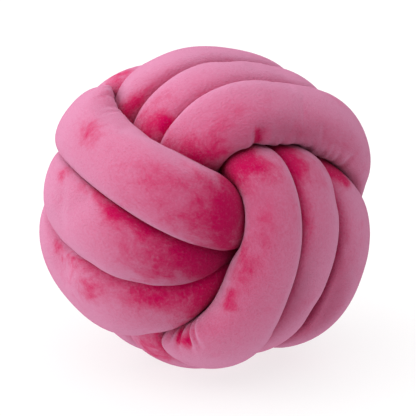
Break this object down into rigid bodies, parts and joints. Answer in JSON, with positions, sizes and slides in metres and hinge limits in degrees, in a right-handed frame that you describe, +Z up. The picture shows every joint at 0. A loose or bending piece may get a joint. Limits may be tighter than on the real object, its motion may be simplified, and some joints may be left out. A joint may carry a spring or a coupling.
{
  "type": "knotted ball throw cushion",
  "caption": "Ball-shaped throw cushion: a long stuffed plush tube wound in crossing bundles as a round knot, with a small flat spot to rest on.",
  "frame": {"origin": "middle of the bounding box, at the flat spot on which the cushion rests", "axes": "+Z up; seen from -Y, the side shown first, +X is to the right"},
  "size_m": [0.2708, 0.2706, 0.2563],
  "materials": {
    "pink_plush": "short-pile velvet plush with a soft sheen and brushed patches"
  },
  "bodies": {
    "root": {"knotted_tube": "pink_plush"}
  },
  "joints": []
}
